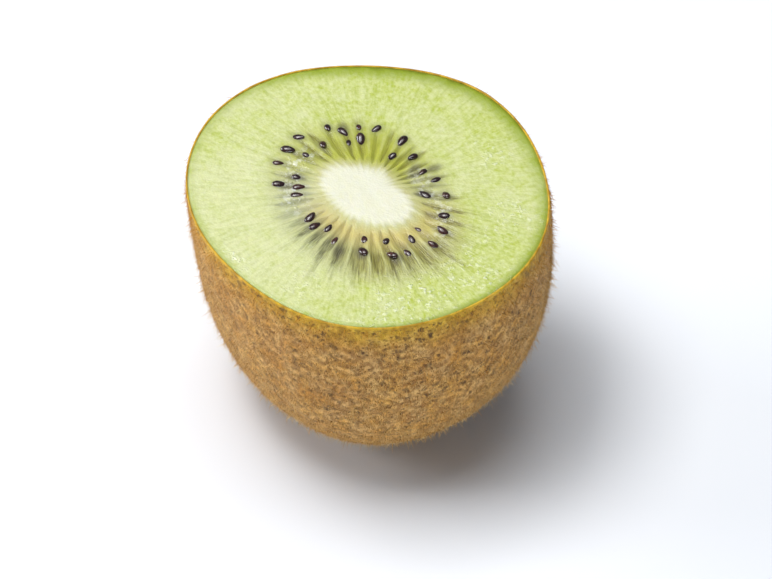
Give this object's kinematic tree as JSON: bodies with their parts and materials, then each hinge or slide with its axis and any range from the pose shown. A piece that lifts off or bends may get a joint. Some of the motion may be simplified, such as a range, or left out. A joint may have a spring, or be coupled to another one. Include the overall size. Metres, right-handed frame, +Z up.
{
  "type": "kiwi fruit half",
  "caption": "Half of a kiwi fruit, cut across, standing on its rounded end: oval cut face with a pale core ringed by seed chambers, and a barrel-shaped furry side.",
  "frame": {"origin": "the middle of the small flat spot that the half rests on, under the fruit's core", "axes": "+Z up the core to the cut face; +X along the broad axis of the oval girth; +Y along its narrow axis"},
  "size_m": [0.051, 0.0477, 0.0358],
  "materials": {
    "skin": "thin brown rind with fine dark specks, golden just under the cut",
    "fuzz": "short stiff brown hairs, matt",
    "flesh": "moist, slightly see-through pale green flesh with a cream core",
    "seed": "shiny dark purple-black"
  },
  "bodies": {
    "root": {"kiwi_half": "skin"}
  },
  "joints": []
}
